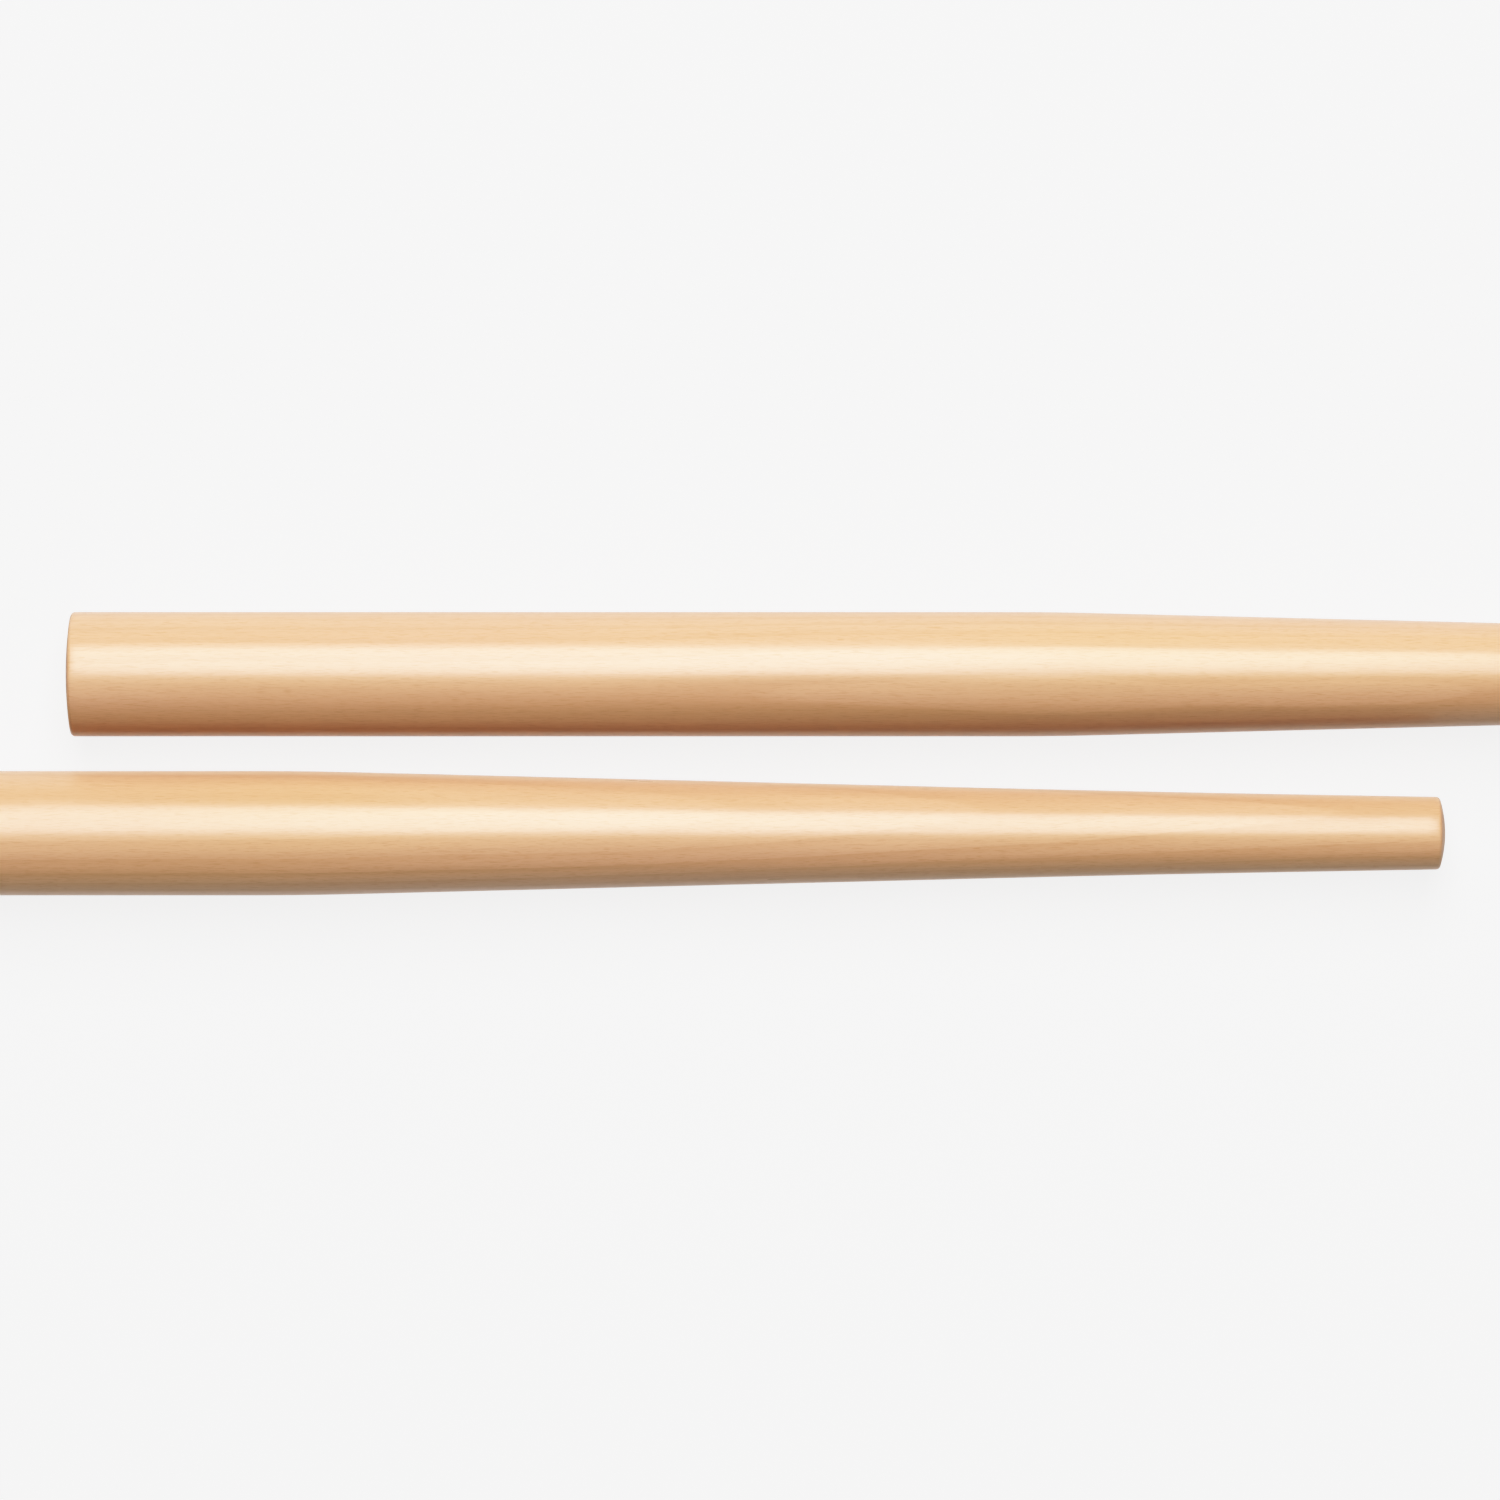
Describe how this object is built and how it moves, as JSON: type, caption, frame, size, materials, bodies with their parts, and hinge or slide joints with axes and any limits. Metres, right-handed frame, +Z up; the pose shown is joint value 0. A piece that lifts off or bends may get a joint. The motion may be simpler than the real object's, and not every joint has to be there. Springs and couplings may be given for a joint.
{
  "type": "claves",
  "caption": "Pair of tapered round hardwood percussion sticks lying side by side, with straight grips, slim tips and domed ends.",
  "frame": {"origin": "on the surface that the pair lies on, at the middle of the pair's footprint", "axes": "+X along both sticks, from butts to tips; +Y from the striker to the resonator; +Z up"},
  "size_m": [0.584, 0.0576, 0.0254],
  "materials": {
    "lacquered_hardwood": "satin clear lacquer on pale, straight-grained hardwood"
  },
  "bodies": {
    "resonator": {"resonator_stick": "lacquered_hardwood"},
    "striker": {"striker_stick": "lacquered_hardwood"}
  },
  "joints": [
    {"name": "strike", "type": "slide", "parent": "resonator", "child": "striker", "axis": [0, 1, 0], "range_m": [-0.2, 0.00665]}
  ]
}
